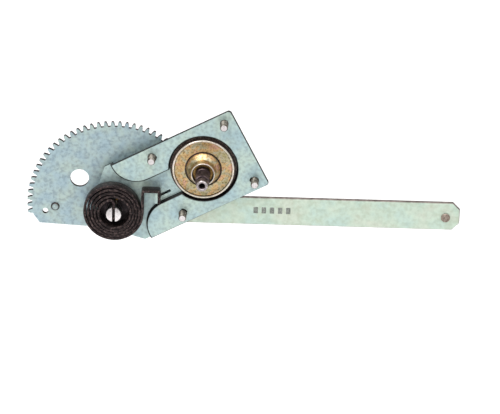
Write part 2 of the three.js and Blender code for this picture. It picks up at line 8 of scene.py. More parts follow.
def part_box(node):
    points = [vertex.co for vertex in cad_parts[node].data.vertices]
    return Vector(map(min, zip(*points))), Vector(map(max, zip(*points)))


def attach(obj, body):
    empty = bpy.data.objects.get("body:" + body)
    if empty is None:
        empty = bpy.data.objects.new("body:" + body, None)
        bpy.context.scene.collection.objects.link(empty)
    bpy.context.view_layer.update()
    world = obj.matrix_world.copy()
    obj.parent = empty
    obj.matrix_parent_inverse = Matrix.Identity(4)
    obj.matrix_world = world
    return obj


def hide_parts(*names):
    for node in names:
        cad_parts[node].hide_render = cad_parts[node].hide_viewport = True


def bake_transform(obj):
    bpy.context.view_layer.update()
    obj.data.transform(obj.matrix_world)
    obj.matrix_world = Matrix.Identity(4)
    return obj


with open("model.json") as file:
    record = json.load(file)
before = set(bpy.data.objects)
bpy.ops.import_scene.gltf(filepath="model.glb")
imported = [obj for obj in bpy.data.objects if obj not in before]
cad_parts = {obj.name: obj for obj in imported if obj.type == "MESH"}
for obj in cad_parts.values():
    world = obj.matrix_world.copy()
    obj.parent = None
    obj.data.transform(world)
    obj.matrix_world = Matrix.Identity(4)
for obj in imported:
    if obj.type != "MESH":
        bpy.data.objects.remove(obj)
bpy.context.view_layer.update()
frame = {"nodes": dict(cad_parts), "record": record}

mm = 0.001
faceGap = 0.3            # touching faces stand this far apart in the frame, in mm
record = frame["record"]
bodyOf = {node: body for body, nodes in record["behaviour"]["bodies"].items() for node in nodes}
print("frame loaded:", len(frame["nodes"]), "nodes")


# Places are given in millimetres: x along the lift arm, forward towards the crank, up.

def spot(x, forward, up):
    return Vector((x, -forward, up)) * mm


def spanOf(node):
    low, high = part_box(node)
    return {
        "x": (low[0] + high[0]) / 2 / mm,
        "up": (low[2] + high[2]) / 2 / mm,
        "front": -low[1] / mm,
        "back": -high[1] / mm,
        "radius": (high[0] - low[0]) / 2 / mm,
    }


spindle = spanOf("crank_spindle")
pivot = spanOf("pivot_stud")
rollerAxle = spanOf("roller")
arm = spanOf("lift_arm")
sector = spanOf("sector_gear")

cameraValues = {
    "elevation": 23.0,
    "roll": 1.65,
    "distance": 1.8,
    "width": 0.3825,
    "right": 0.03653,
    "up": -0.02803,
}


def addCamera(v):
    tilt, roll = radians(v["elevation"]), radians(v["roll"])
    ahead = Vector((0, cos(tilt), -sin(tilt)))
    flat = Vector((1, 0, 0))
    upright = Vector((0, sin(tilt), cos(tilt)))
    right = flat * cos(roll) + upright * sin(roll)
    up = upright * cos(roll) - flat * sin(roll)
    place = flat * v["right"] + upright * v["up"] - ahead * v["distance"]
    camera = bpy.data.cameras.new("camera")
    camera.sensor_width = 36
    camera.lens = camera.sensor_width * v["distance"] / v["width"]
    holder = bpy.data.objects.new("camera", camera)
    bpy.context.scene.collection.objects.link(holder)
    turn = Matrix((right, up, -ahead)).transposed().to_4x4()
    holder.matrix_world = Matrix.Translation(place) @ turn
    bpy.context.scene.camera = holder


addCamera(cameraValues)
print("camera placed")


# Shading

def tone(hexCode):
    channels = [int(hexCode[i:i + 2], 16) / 255 for i in (1, 3, 5)]
    linear = [c / 12.92 if c <= 0.04045 else ((c + 0.055) / 1.055) ** 2.4 for c in channels]
    return (*linear, 1)


def addNode(tree, kind, inputs=None, stops=None, **settings):
    node = tree.nodes.new(kind)
    for name, value in settings.items():
        setattr(node, name, value)
    for key, value in (inputs or {}).items():
        if isinstance(value, tuple) and isinstance(value[0], bpy.types.Node):
            tree.links.new(value[0].outputs[value[1]], node.inputs[key])
        else:
            node.inputs[key].default_value = value
    for i, (place, colour) in enumerate(stops or []):
        ramp = node.color_ramp.elements
        stop = ramp[i] if i < 2 else ramp.new(place)
        stop.position, stop.color = place, colour
    return node


def startFinish(name, metallic=1.0):
    finish = bpy.data.materials.new(name)
    finish.use_nodes = True
    tree = finish.node_tree
    shader = tree.nodes["Principled BSDF"]
    shader.inputs["Metallic"].default_value = metallic
    place = addNode(tree, "ShaderNodeTexCoord")
    return finish, tree, shader, place


# Lays the colour, gloss and relief that a finish has worked out on its shader.
def layFinish(tree, shader, colour, gloss, bump):
    tree.links.new(colour, shader.inputs["Base Color"])
    tree.links.new(gloss.outputs[0], shader.inputs["Roughness"])
    tree.links.new(bump.outputs[0], shader.inputs["Normal"])


# The part of a sheet or ring that turns away from its flat face: cut edges, hole walls and press bends.
def turnedAway(tree, place, fromSlope, toSlope):
    parts = addNode(tree, "ShaderNodeSeparateXYZ", {0: (place, "Normal")})
    slope = addNode(tree, "ShaderNodeMath", {0: (parts, "Y")}, operation="ABSOLUTE")
    return addNode(tree, "ShaderNodeMapRange", {
        "Value": (slope, 0), "From Min": toSlope, "From Max": fromSlope, "To Min": 1.0, "To Max": 0.0,
    })


# Zinc-plated cold-rolled sheet: a soft grey metal, clouded by its passivation and mottled by dried drops,
# with a dull brown-black painted shade on the faces that turn away from the flat: cut edges, hole walls
# and press bends. Its rolling grain is near 0.1 mm, and it is drawn several times as coarse so that it shows.
def platedSheet(name, v):
    finish, tree, shader, place = startFinish(name, v["metallic"])
    here = (place, "Object")
    cloud = addNode(tree, "ShaderNodeTexNoise", {
        "Vector": here, "Scale": 1 / (v["cloud"] * mm), "Detail": 3.0, "Roughness": 0.55})
    mottle = addNode(tree, "ShaderNodeTexNoise", {
        "Vector": here, "Scale": 1 / (v["mottle"] * mm), "Detail": 2.0, "Roughness": 0.5})
    grain = addNode(tree, "ShaderNodeTexNoise", {
        "Vector": here, "Scale": 1 / (v["grain"] * mm), "Detail": 2.0, "Roughness": 0.6})
    tint = addNode(tree, "ShaderNodeValToRGB", {"Fac": (cloud, "Fac")}, stops=[
        (0.36, tone(v["cool"])), (0.50, tone(v["base"])), (0.64, tone(v["warm"]))])
    drops = addNode(tree, "ShaderNodeValToRGB", {"Fac": (mottle, "Fac")}, stops=[
        (0.32, tone(v["dim"])), (0.54, tone("#F6F7F7")), (0.70, tone("#FFFFFF"))])
    spotted = addNode(tree, "ShaderNodeMix", {0: 1.0, 6: (tint, "Color"), 7: (drops, "Color")},
                      data_type="RGBA", blend_type="MULTIPLY")
    # Painted shade: faces turned away from the flat take the dark edge colours.
    away = turnedAway(tree, place, v["bendStart"], v["bendEnd"])
    edgeShade = addNode(tree, "ShaderNodeValToRGB", {"Fac": (mottle, "Fac")}, stops=[
        (0.35, tone(v["edgeShadeDark"])), (0.65, tone(v["edge"]))])
    colour = addNode(tree, "ShaderNodeMix", {0: (away, 0), 6: (spotted, 2), 7: (edgeShade, "Color")},
                     data_type="RGBA")
    gloss = addNode(tree, "ShaderNodeMapRange", {
        "Value": (mottle, "Fac"), "From Min": 0.3, "From Max": 0.7,
        "To Min": v["roughness"] - 0.07, "To Max": v["roughness"] + 0.07})
    relief = addNode(tree, "ShaderNodeMath", {0: (grain, "Fac"), 1: (mottle, "Fac")}, operation="ADD")
    bump = addNode(tree, "ShaderNodeBump", {"Height": (relief, 0), "Strength": v["relief"],
                                             "Distance": 0.1 * mm})
    layFinish(tree, shader, colour.outputs[2], gloss, bump)
    return finish


# Blue-green passivation on the plate: the cleanest sheet, with the darkest painted shade, almost black, on
# its edges and bends.
plateZinc = platedSheet("zinc plated base sheet, blue-green passivation", {
    "metallic": 0.62, "cloud": 17, "mottle": 2.6, "grain": 0.8, "roughness": 0.44, "relief": 0.3,
    "cool": "#B0C8CC", "base": "#BBD0CD", "warm": "#C3D5CB", "dim": "#D9DBDD",
    "edgeShadeDark": "#0E0A0A", "edge": "#231D1C", "bendStart": 0.995, "bendEnd": 0.88})
# Bluish passivation on the sector: a little darker and blotchier, with brown painted shade on its edges and
# in the tooth spaces.
sectorZinc = platedSheet("zinc plated sector, bluish and mottled", {
    "metallic": 0.58, "cloud": 12, "mottle": 2.4, "grain": 0.8, "roughness": 0.47, "relief": 0.35,
    "cool": "#A8BEC6", "base": "#B1C5C7", "warm": "#B6C7C2", "dim": "#D6D5D9",
    "edgeShadeDark": "#1A1011", "edge": "#43332F", "bendStart": 0.99, "bendEnd": 0.82})
# Thin pale green passivation on the arm: the palest sheet, with only a light painted shade on its edges.
armZinc = platedSheet("zinc plated lift arm, pale green tint", {
    "metallic": 0.62, "cloud": 20, "mottle": 3.2, "grain": 0.9, "roughness": 0.42, "relief": 0.25,
    "cool": "#C3D8CE", "base": "#CBDBCB", "warm": "#CFD8C8", "dim": "#E8E9E4",
    "edgeShadeDark": "#5B524D", "edge": "#7F756F", "bendStart": 0.985, "bendEnd": 0.80})


# Turned or headed steel: a fine lathe or die grain, with tarnish in patches. The grain is under 0.1 mm,
# and its specks are drawn about five times as coarse so that they show.
def turnedSteel(name, v):
    finish, tree, shader, place = startFinish(name, v["metallic"])
    here = (place, "Object")
    patch = addNode(tree, "ShaderNodeTexNoise", {
        "Vector": here, "Scale": 1 / (v["patch"] * mm), "Detail": 3.0, "Roughness": 0.6})
    speck = addNode(tree, "ShaderNodeTexNoise", {
        "Vector": here, "Scale": 1 / (v["speck"] * mm), "Detail": 2.0, "Roughness": 0.7})
    colour = addNode(tree, "ShaderNodeValToRGB", {"Fac": (patch, "Fac")}, stops=[
        (0.36, tone(v["dark"])), (0.52, tone(v["base"])), (0.68, tone(v["light"]))])
    dots = addNode(tree, "ShaderNodeValToRGB", {"Fac": (speck, "Fac")}, stops=[
        (0.34, tone(v["dim"])), (0.5, tone("#FFFFFF"))])
    mixed = addNode(tree, "ShaderNodeMix", {0: 1.0, 6: (colour, "Color"), 7: (dots, "Color")},
                    data_type="RGBA", blend_type="MULTIPLY")
    gloss = addNode(tree, "ShaderNodeMapRange", {
        "Value": (patch, "Fac"), "From Min": 0.3, "From Max": 0.7,
        "To Min": v["roughness"] - 0.08, "To Max": v["roughness"] + 0.08})
    bump = addNode(tree, "ShaderNodeBump", {"Height": (speck, "Fac"), "Strength": v["relief"],
                                             "Distance": 0.08 * mm})
    layFinish(tree, shader, mixed.outputs[2], gloss, bump)
    return finish


# Bright zinc on headed steel: clean and pale, with fairly sharp highlights.
brightZinc = turnedSteel("bright zinc on headed steel", {
    "metallic": 1.0, "patch": 5, "speck": 0.7, "roughness": 0.3, "relief": 0.25,
    "dark": "#B9BCB8", "base": "#D2D4CF", "light": "#DEDFDA", "dim": "#CFCFCF"})
# Bare turned steel: the brightest metal here, flashing off the cut faces.
cutFace = turnedSteel("bare turned steel end face", {
    "metallic": 1.0, "patch": 3, "speck": 0.5, "roughness": 0.27, "relief": 0.2,
    "dark": "#CFC8C8", "base": "#E2DCDC", "light": "#EDE9E9", "dim": "#DADADA"})
# Zinc on a thread, darkened to mid grey as painted shade on the studs' shanks.
shadedThread = turnedSteel("dull zinc on thread, painted shade", {
    "metallic": 0.9, "patch": 2.5, "speck": 0.6, "roughness": 0.42, "relief": 0.3,
    "dark": "#4A463E", "base": "#78746B", "light": "#A09C92", "dim": "#A0A0A0"})
# Browned and oiled steel: dark brown-grey, with a satin line of light down its side.
brownedSpindle = turnedSteel("browned spindle steel", {
    "metallic": 0.9, "patch": 3, "speck": 0.6, "roughness": 0.36, "relief": 0.25,
    "dark": "#3B3133", "base": "#57494B", "light": "#7C6C6D", "dim": "#B0A8A8"})
# The same steel rubbed by the crank handle: paler, with a soft shine.
wornEnd = turnedSteel("worn spindle end", {
    "metallic": 0.95, "patch": 2, "speck": 0.5, "roughness": 0.34, "relief": 0.2,
    "dark": "#8E8586", "base": "#AFA6A7", "light": "#CFC8C8", "dim": "#B8B2B2"})
# Painted shade for creases, gaps and bores: brown and hardly metallic, so it reads as a dark line.
creaseShade = turnedSteel("painted shade in a crease", {
    "metallic": 0.5, "patch": 1.5, "speck": 0.5, "roughness": 0.55, "relief": 0.3,
    "dark": "#2E2522", "base": "#4E403A", "light": "#77685E", "dim": "#A09890"})
# Zinc in the punch dents: greyer and rougher than the sheet around it.
punchedZinc = turnedSteel("grey zinc in punch marks", {
    "metallic": 0.8, "patch": 1.5, "speck": 0.5, "roughness": 0.5, "relief": 0.2,
    "dark": "#7C817B", "base": "#959A93", "light": "#ADB2AA", "dim": "#C0C0C0"})
# Oil-blackened mild steel: near black and satin.
blackSteel = turnedSteel("oil-blackened steel", {
    "metallic": 0.9, "patch": 3.5, "speck": 0.6, "roughness": 0.42, "relief": 0.3,
    "dark": "#1E1A1B", "base": "#322C2E", "light": "#4A4244", "dim": "#A0A0A0"})
# Oil-tempered strip: brown-black scale, paler where it has rubbed.
springSteel = turnedSteel("oil-tempered spring strip, brown-black", {
    "metallic": 0.8, "patch": 1.5, "speck": 0.8, "roughness": 0.46, "relief": 0.6,
    "dark": "#1C1718", "base": "#332A2A", "light": "#6E5E5B", "dim": "#8A8586"})
# Sintered bronze soaked in oil: dull yellow-brown, pitted with pores.
oiledBronze = turnedSteel("oiled sintered bronze, porous", {
    "metallic": 1.0, "patch": 3, "speck": 0.4, "roughness": 0.5, "relief": 0.5,
    "dark": "#7A5E36", "base": "#9C7B4A", "light": "#B39463", "dim": "#8A8580"})
# A peened end browned with age: warm grey-brown, left uneven by the hammer.
brownedSteel = turnedSteel("browned peened end", {
    "metallic": 0.9, "patch": 2, "speck": 0.6, "roughness": 0.5, "relief": 0.5,
    "dark": "#7A6D63", "base": "#9C8E83", "light": "#B5A89E", "dim": "#B8B2AC"})


# Yellow-passivated zinc: gold with drifting pink, orange and olive interference tints and dull specks.
def yellowPassivated(name, v):
    finish, tree, shader, place = startFinish(name, v["metallic"])
    here = (place, "Object")
    drift = addNode(tree, "ShaderNodeTexNoise", {
        "Vector": here, "Scale": 1 / (v["drift"] * mm), "Detail": 2.0, "Roughness": 0.5, "Distortion": 0.8})
    shade = addNode(tree, "ShaderNodeTexNoise", {
        "Vector": here, "Scale": 1 / (v["shade"] * mm), "Detail": 3.0, "Roughness": 0.65})
    tint = addNode(tree, "ShaderNodeValToRGB", {"Fac": (drift, "Fac")}, stops=[
        (0.34, tone(v["olive"])), (0.44, tone(v["grey"])), (0.50, tone(v["gold"])),
        (0.57, tone(v["amber"])), (0.66, tone(v["pink"]))])
    dirt = addNode(tree, "ShaderNodeValToRGB", {"Fac": (shade, "Fac")}, stops=[
        (0.30, tone(v["dirt"])), (0.52, tone("#F8F5F0")), (0.70, tone("#FFFFFF"))])
    mixed = addNode(tree, "ShaderNodeMix", {0: 1.0, 6: (tint, "Color"), 7: (dirt, "Color")},
                    data_type="RGBA", blend_type="MULTIPLY")
    gloss = addNode(tree, "ShaderNodeMapRange", {
        "Value": (shade, "Fac"), "From Min": 0.3, "From Max": 0.7,
        "To Min": v["roughness"] + 0.1, "To Max": v["roughness"] - 0.08})
    bump = addNode(tree, "ShaderNodeBump", {"Height": (shade, "Fac"), "Strength": v["relief"],
                                             "Distance": 0.1 * mm})
    layFinish(tree, shader, mixed.outputs[2], gloss, bump)
    return finish


# The cover's thick film: strong gold that drifts to pink and olive, dirty in spots.
coverGold = yellowPassivated("yellow-passivated zinc cover", {
    "metallic": 0.95, "drift": 7, "shade": 1.6, "roughness": 0.34, "relief": 0.4,
    "olive": "#AFA67C", "grey": "#BDB69F", "gold": "#CBB182", "amber": "#D0AE7E", "pink": "#CFA792",
    "dirt": "#A39781"})
# The drum's pale finish: almost silver, with only a warm cast, a painted highlight on its rolled rim.
highlightGold = yellowPassivated("pale yellow zinc drum, painted highlight", {
    "metallic": 0.95, "drift": 9, "shade": 2.2, "roughness": 0.3, "relief": 0.2,
    "olive": "#DEDACB", "grey": "#E4E0DC", "gold": "#EAE0D0", "amber": "#ECE2D6", "pink": "#E8DCDA",
    "dirt": "#CFC8C2"})


# Natural moulded nylon: ivory, slightly waxy, scuffed where it rolls.
def mouldedNylon(name, v):
    finish, tree, shader, place = startFinish(name, 0.0)
    here = (place, "Object")
    scuff = addNode(tree, "ShaderNodeTexNoise", {
        "Vector": here, "Scale": 1 / (v["scuff"] * mm), "Detail": 3.0, "Roughness": 0.6})
    colour = addNode(tree, "ShaderNodeValToRGB", {"Fac": (scuff, "Fac")}, stops=[
        (0.35, tone(v["dull"])), (0.6, tone(v["ivory"]))])
    gloss = addNode(tree, "ShaderNodeMapRange", {
        "Value": (scuff, "Fac"), "From Min": 0.3, "From Max": 0.7,
        "To Min": v["dullRoughness"], "To Max": v["roughness"]})
    bump = addNode(tree, "ShaderNodeBump", {"Height": (scuff, "Fac"), "Strength": v["relief"],
                                             "Distance": 0.1 * mm})
    shader.inputs["Subsurface Weight"].default_value = v["glow"]
    shader.inputs["Subsurface Scale"].default_value = v["glowDepth"] * mm
    layFinish(tree, shader, colour.outputs[0], gloss, bump)
    return finish


naturalNylon = mouldedNylon("natural nylon", {
    "scuff": 1.8, "ivory": "#E6E1D2", "dull": "#CFC8B4", "roughness": 0.38, "dullRoughness": 0.55,
    "relief": 0.2, "glow": 0.15, "glowDepth": 1.5})
print("finishes mixed")


# Bench work shared by the pieces

def holdOnly(piece):
    bpy.ops.object.select_all(action="DESELECT")
    piece.select_set(True)
    bpy.context.view_layer.objects.active = piece


def editPiece(piece):
    holdOnly(piece)
    bpy.ops.object.mode_set(mode="EDIT")
    bpy.ops.mesh.select_mode(type="VERT")


def leavePiece():
    bpy.ops.object.mode_set(mode="OBJECT")


# A turned piece: half its section is drawn point by point and spun about the line through its middle.
def turnPiece(name, x, up, section, steps=72):
    line = [spot(x + radius, forward, up) for radius, forward in section]
    bpy.ops.object.select_all(action="DESELECT")
    bpy.ops.mesh.primitive_plane_add(size=mm, location=line[0])
    piece = bpy.context.object
    piece.name = piece.data.name = name
    bpy.ops.object.transform_apply(location=True, rotation=False, scale=False)
    editPiece(piece)
    bpy.ops.mesh.select_all(action="SELECT")
    bpy.ops.mesh.merge(type="CENTER")
    for here, after in zip(line, line[1:]):
        bpy.ops.mesh.extrude_vertices_move(TRANSFORM_OT_translate={"value": after - here})
    bpy.ops.mesh.select_all(action="SELECT")
    bpy.ops.mesh.spin(steps=steps, angle=2 * pi, center=spot(x, 0, up), axis=(0, 1, 0))
    bpy.ops.mesh.select_all(action="SELECT")
    bpy.ops.mesh.remove_doubles(threshold=0.01 * mm)
    bpy.ops.mesh.normals_make_consistent(inside=False)
    leavePiece()
    return piece


# A sheet piece starts as a merged copy of the frame's own solid.
def copySolid(name, node):
    mesh = frame["nodes"][node].data.copy()
    mesh.materials.clear()
    piece = bpy.data.objects.new(name, mesh)
    mesh.name = name
    bpy.context.scene.collection.objects.link(piece)
    editPiece(piece)
    bpy.ops.mesh.select_all(action="SELECT")
    bpy.ops.mesh.remove_doubles(threshold=0.005 * mm)
    bpy.ops.mesh.dissolve_limited(angle_limit=radians(1))
    leavePiece()
    return piece


def applyModifier(piece, kind, **settings):
    holdOnly(piece)
    modifier = piece.modifiers.new(kind.lower(), kind)
    for name, value in settings.items():
        setattr(modifier, name, value)
    bpy.ops.object.modifier_apply(modifier=modifier.name)


def breakEdges(piece, width, segments=2, angle=40):
    applyModifier(piece, "BEVEL", width=width * mm, segments=segments, limit_method="ANGLE",
                  angle_limit=radians(angle))


def smooth(piece, angle=32):
    holdOnly(piece)
    bpy.ops.object.shade_smooth_by_angle(angle=radians(angle))


# Smooth bends between flats that stay truly flat, as on pressed sheet.
def smoothSheet(piece, angle=34):
    smooth(piece, angle)
    applyModifier(piece, "WEIGHTED_NORMAL", mode="FACE_AREA", weight=100, keep_sharp=True)


# Puts a finished piece on its body, in place of its frame node.
def fit(piece, node, *finishes):
    for finish in finishes:
        piece.data.materials.append(finish)
    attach(piece, bodyOf[node])
    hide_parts(node)
    return piece


# Gives the second finish to the faces that a test picks.
def paintFaces(piece, index, test):
    for face in piece.data.polygons:
        if test(face):
            face.material_index = index


# Whether a vertex lies at a level, and whether a face stands square to the sheet.
def liesAt(vert, level):
    return abs(vert.co.y + level * mm) <= 0.02 * mm


def isWall(face):
    return abs(face.normal.y) < 0.1


# Rounds the edges at one level of a pressing that border a wall reaching between two other levels.
def pressBend(piece, level, reachLow, reachHigh, radius, segments, clamp=True):
    slack = 0.1
    bpy.ops.mesh.select_mode(type="EDGE")
    bpy.ops.mesh.select_all(action="DESELECT")
    mesh = bmesh.from_edit_mesh(piece.data)
    for edge in mesh.edges:
        if not all(liesAt(vert, level) for vert in edge.verts):
            continue
        for face in edge.link_faces:
            depths = [-vert.co.y / mm for vert in face.verts]
            far = max(depths, key=lambda depth: abs(depth - level))
            if isWall(face) and reachLow - slack < far < reachHigh + slack:
                edge.select_set(True)
    bmesh.update_edit_mesh(piece.data)
    bpy.ops.mesh.bevel(offset=radius * mm, segments=segments, affect="EDGES", clamp_overlap=clamp)
    bpy.ops.mesh.select_all(action="DESELECT")


# Rounds the front edges of a sheet's outline that a test picks by the wall's middle and its outward way.
def roundRim(piece, level, width, picks):
    bpy.ops.mesh.select_mode(type="EDGE")
    bpy.ops.mesh.select_all(action="DESELECT")
    mesh = bmesh.from_edit_mesh(piece.data)
    for edge in mesh.edges:
        walls = [face for face in edge.link_faces if isWall(face)]
        if len(walls) == 1 and all(liesAt(vert, level) for vert in edge.verts):
            edge.select_set(picks((edge.verts[0].co + edge.verts[1].co) / 2 / mm, walls[0].normal))
    bmesh.update_edit_mesh(piece.data)
    bpy.ops.mesh.bevel(offset=width * mm, segments=3, affect="EDGES", clamp_overlap=False)
    bpy.ops.mesh.select_all(action="DESELECT")


# Base plate: one pressing, with soft shoulders where the keyhole recess is drawn in.
plateValues = {
    "floor": -4.0,
    "sheet": 2.0,
    "shoulder": 1.6,
    "floorFillet": 0.9,
    "backFillet": 0.6,
    "backShoulder": 1.9,
    "cutEdge": 0.9,
    "rimReach": 28.0,        # the outline's walls lie further out than this, the window's nearer
    "drumHole": 24.1,
    "windowMiddle": 40.8,
    "windowBelow": -2.6,
    "windowHalf": 4.3,
    "windowReach": 5.2,
    "windowDrawIn": 6.6,     # how far its upper edge comes down
    "drumClearance": 0.55,
    "slack": 0.12,           # how near a vertex has to lie to count as on an edge
}


def makePlate(v):
    piece = copySolid("pressed_plate", "base_plate")
    back = v["floor"] - v["sheet"]
    editPiece(piece)
    bpy.ops.mesh.select_all(action="DESELECT")
    mesh = bmesh.from_edit_mesh(piece.data)
    for vert in mesh.verts:
        vert.select_set(abs(hypot(vert.co.x, vert.co.z) / mm - v["drumHole"]) < v["slack"])
    bmesh.update_edit_mesh(piece.data)
    wider = 1 + v["drumClearance"] / v["drumHole"]
    bpy.ops.transform.resize(value=(wider, 1, wider), center_override=(0, 0, 0))
    # the window's upper edge, along the line from the pivot to the spindle, is drawn down to a slit
    lean = Matrix.Rotation(-atan2(-pivot["up"], -pivot["x"]), 3, "Y")
    bpy.ops.mesh.select_all(action="DESELECT")
    for vert in mesh.verts:
        place = lean.inverted() @ (vert.co - spot(pivot["x"], 0, pivot["up"])) / mm
        above = place.z - v["windowBelow"] - v["windowHalf"]
        vert.select_set(abs(place.x - v["windowMiddle"]) < v["windowReach"] and abs(above) < 3 * v["slack"])
    bmesh.update_edit_mesh(piece.data)
    bpy.ops.transform.translate(value=lean @ Vector((0, 0, -v["windowDrawIn"] * mm)))
    pressBend(piece, 0.0, v["floor"], v["floor"], v["shoulder"], 5, False)
    pressBend(piece, v["floor"], -v["shoulder"], -v["shoulder"], v["floorFillet"], 3)
    pressBend(piece, -v["sheet"], back, back, v["backFillet"], 2)
    pressBend(piece, back, -v["sheet"] - v["backFillet"], -v["sheet"], v["backShoulder"], 4)
    roundRim(piece, 0.0, v["cutEdge"], lambda middle, out: out.dot(middle) > v["rimReach"])
    leavePiece()
    smoothSheet(piece)
    return fit(piece, "base_plate", plateZinc)


makePlate(plateValues)
print("base plate pressed")


# Mounting studs: headed M6 studs, coarse thread to just short of the plate, bright cut end.
studValues = {
    "radius": 3.0,
    "root": 2.5,
    "pitch": 1.0,
    "crestShare": 0.12,
    "rootFrom": 0.5,
    "rootTo": 0.6,
    "threadFrom": 0.9,
    "chamfer": 0.9,
    "headRadius": 5.0,
    "head": 1.2,
    "headRound": 0.4,
    "headCorner": 0.2,
    "headFront": -2.3,
}


def threadSection(v, end):
    count = int((end - v["threadFrom"]) / v["pitch"])
    section = []
    for i in range(count):
        bottom = v["threadFrom"] + i * v["pitch"]
        section += [(v["radius"], bottom), (v["radius"], bottom + v["crestShare"] * v["pitch"]),
                    (v["root"], bottom + v["rootFrom"] * v["pitch"]),
                    (v["root"], bottom + v["rootTo"] * v["pitch"])]
    return section + [(v["radius"], v["threadFrom"] + count * v["pitch"])]


def makeStud(number, v):
    node = f"mount_stud_{number}"
    at = spanOf(node)
    tip, head, front = at["front"], v["headRadius"], v["headFront"]
    back = front - v["head"]
    section = [(0, back), (head - v["headRound"], back), (head, back + v["headRound"]),
               (head, front - v["headCorner"]), (head - v["headCorner"], front), (v["radius"], front)]
    section += threadSection(v, tip - v["chamfer"])
    section += [(v["radius"] - v["chamfer"] * 0.75, tip), (0, tip)]
    piece = turnPiece(f"m6_stud_{number}", at["x"], at["up"], section, 40)
    smooth(piece)
    # The shank carries the dark painted shade; the cut end stays bright.
    fit(piece, node, shadedThread, cutFace)
    paintFaces(piece, 1, lambda face: face.normal.y < -0.6 and face.center.y < -(tip - 0.5) * mm)


for number in (1, 2, 3, 4):
    makeStud(number, studValues)
print("studs threaded")


# Brake drum: a drawn cup with a flange against the plate and a rolled front rim.
drumValues = {
    "radius": 23.8,
    "wall": 1.0,
    "flangeRadius": 25.5,
    "flangeBack": -3.7,
    "flangeFront": -2.7,
    "hole": 8.3,
    "backRound": [(1.4, 0.0), (0.6, 0.25), (0.1, 0.8), (0.0, 1.5)],       # in from the wall, up from the back
    # in from the wall, down from the front
    "rimRoll": [(0.0, 0.6), (0.15, 0.2), (0.45, 0.0), (1.1, 0.0), (1.42, 0.2), (1.5, 0.5), (1.35, 0.75)],
    "rimDepth": 0.85,
    "shadeDepth": 0.55,
}


def makeDrum(v):
    at = spanOf("brake_drum")
    front, back, radius, inside = at["front"], at["back"], v["radius"], v["radius"] - v["wall"]
    floor = back + v["wall"]
    section = [(v["hole"], back)]
    section += [(radius - inward, back + up) for inward, up in v["backRound"]]
    section += [(radius, v["flangeBack"]), (v["flangeRadius"], v["flangeBack"]),
                (v["flangeRadius"], v["flangeFront"]), (radius, v["flangeFront"])]
    section += [(radius - inward, front - down) for inward, down in v["rimRoll"]]
    section += [(inside, front - v["rimDepth"]), (inside, floor + 0.5), (inside - 0.5, floor),
                (v["hole"], floor), (v["hole"], back)]
    piece = turnPiece("brake_drum_cup", 0, 0, section, 128)
    smooth(piece, 40)
    fit(piece, "brake_drum", highlightGold, creaseShade)
    # The drum's outer wall, down in the gap round it, takes the painted shade.
    paintFaces(piece, 1, lambda face: face.center.y > -(front - v["shadeDepth"]) * mm
               and hypot(face.center.x, face.center.z) > (radius - 0.05) * mm)
    return piece


# Brake cover: a dished disc, creased round its foot and drawn up into the long boss that guides the spindle.
coverValues = {
    "face": 0.5,
    "edge": 22.3,
    "dish": 0.28,
    "foot": 13.7,
    "crease": 0.7,
    "boss": 9.1,
    "cone": 5.0,
    "wall": 1.0,
}


def makeCover(v):
    at = spanOf("brake_cover")
    top, edge, foot, boss, wall = at["front"], v["edge"], v["foot"], v["boss"], v["wall"]
    face, cone, bore = v["face"], v["cone"], v["boss"] - v["wall"]
    back, dish, crease = face - wall, face - v["dish"], face - v["crease"]
    section = [
        (foot - wall, back), (edge, back), (edge, face - 0.3), (edge - 0.3, face), (edge - 1.2, face),
        (edge - 2.0, dish), (foot + 2.4, dish), (foot + 1.2, face), (foot + 0.55, face - 0.05),
        (foot + 0.3, crease), (foot - 0.35, crease), (foot - 0.6, face + 0.35), (foot - 1.4, face + 1.3),
        (boss + 1.4, cone - 1.2), (boss + 0.4, cone), (boss, cone + 1.2), (boss, top - 0.45),
        (boss - 0.13, top - 0.12), (boss - 0.4, top), (bore + 0.25, top), (bore, top - 0.25),
        (bore, cone - 0.5), (foot - wall, back),
    ]
    piece = turnPiece("brake_cover_disc", 0, 0, section, 128)
    smooth(piece, 50)
    fit(piece, "brake_cover", coverGold, creaseShade, highlightGold)

    def out(face):
        return hypot(face.center.x, face.center.z) / mm

    def level(face):
        return -face.center.y / mm

    # Painted shade in the crease round the boss's foot and down its bore.
    paintFaces(piece, 1, lambda face: foot - 0.75 < out(face) < foot + 0.6 and level(face) > -0.3)
    paintFaces(piece, 1, lambda face: out(face) < bore + 0.1)
    # The boss's front end takes the pale drum finish as a painted highlight.
    paintFaces(piece, 2, lambda face: level(face) > top - 0.5 and out(face) > bore + 0.1)
    return piece


makeDrum(drumValues)
makeCover(coverValues)
print("brake drum drawn and covered")


# Bushes, washers and the roller are turned rings with broken edges.
def turnRing(name, node, section, finish, edge, steps=72):
    at = spanOf(node)
    piece = turnPiece(name, at["x"], at["up"], section + section[:1], steps)
    breakEdges(piece, edge)
    smooth(piece, 40)
    return fit(piece, node, finish)


drumBushValues = {"bore": 6.65, "body": 8.0, "flange": 10.0, "frontFlange": 0.8, "edge": 0.2}
spindleBushValues = {"bore": 5.65, "body": 7.8, "edge": 0.2}
pivotBushValues = {"bore": 6.15, "body": 8.0, "flange": 11.0, "backFlange": 1.0, "edge": 0.2}
pinionWasherValues = {"bore": 4.3, "body": 7.5, "edge": 0.15}
pivotWasherValues = {"bore": 5.3, "body": 8.5, "edge": 0.2}
rollerWasherValues = {"bore": 3.3, "body": 6.0, "edge": 0.15}


def makeRing(name, node, finish, v):
    at = spanOf(node)
    bore, body, back, front = v["bore"], v["body"], at["back"], at["front"]
    section = [(bore, back), (body, back), (body, front), (bore, front)]
    if "frontFlange" in v:
        inner = front - v["frontFlange"]
        section[2:3] = [(body, inner), (v["flange"], inner), (v["flange"], front)]
    if "backFlange" in v:
        inner = back + v["backFlange"]
        section[1:2] = [(v["flange"], back), (v["flange"], inner), (body, inner)]
    return turnRing(name, node, section, finish, v["edge"])


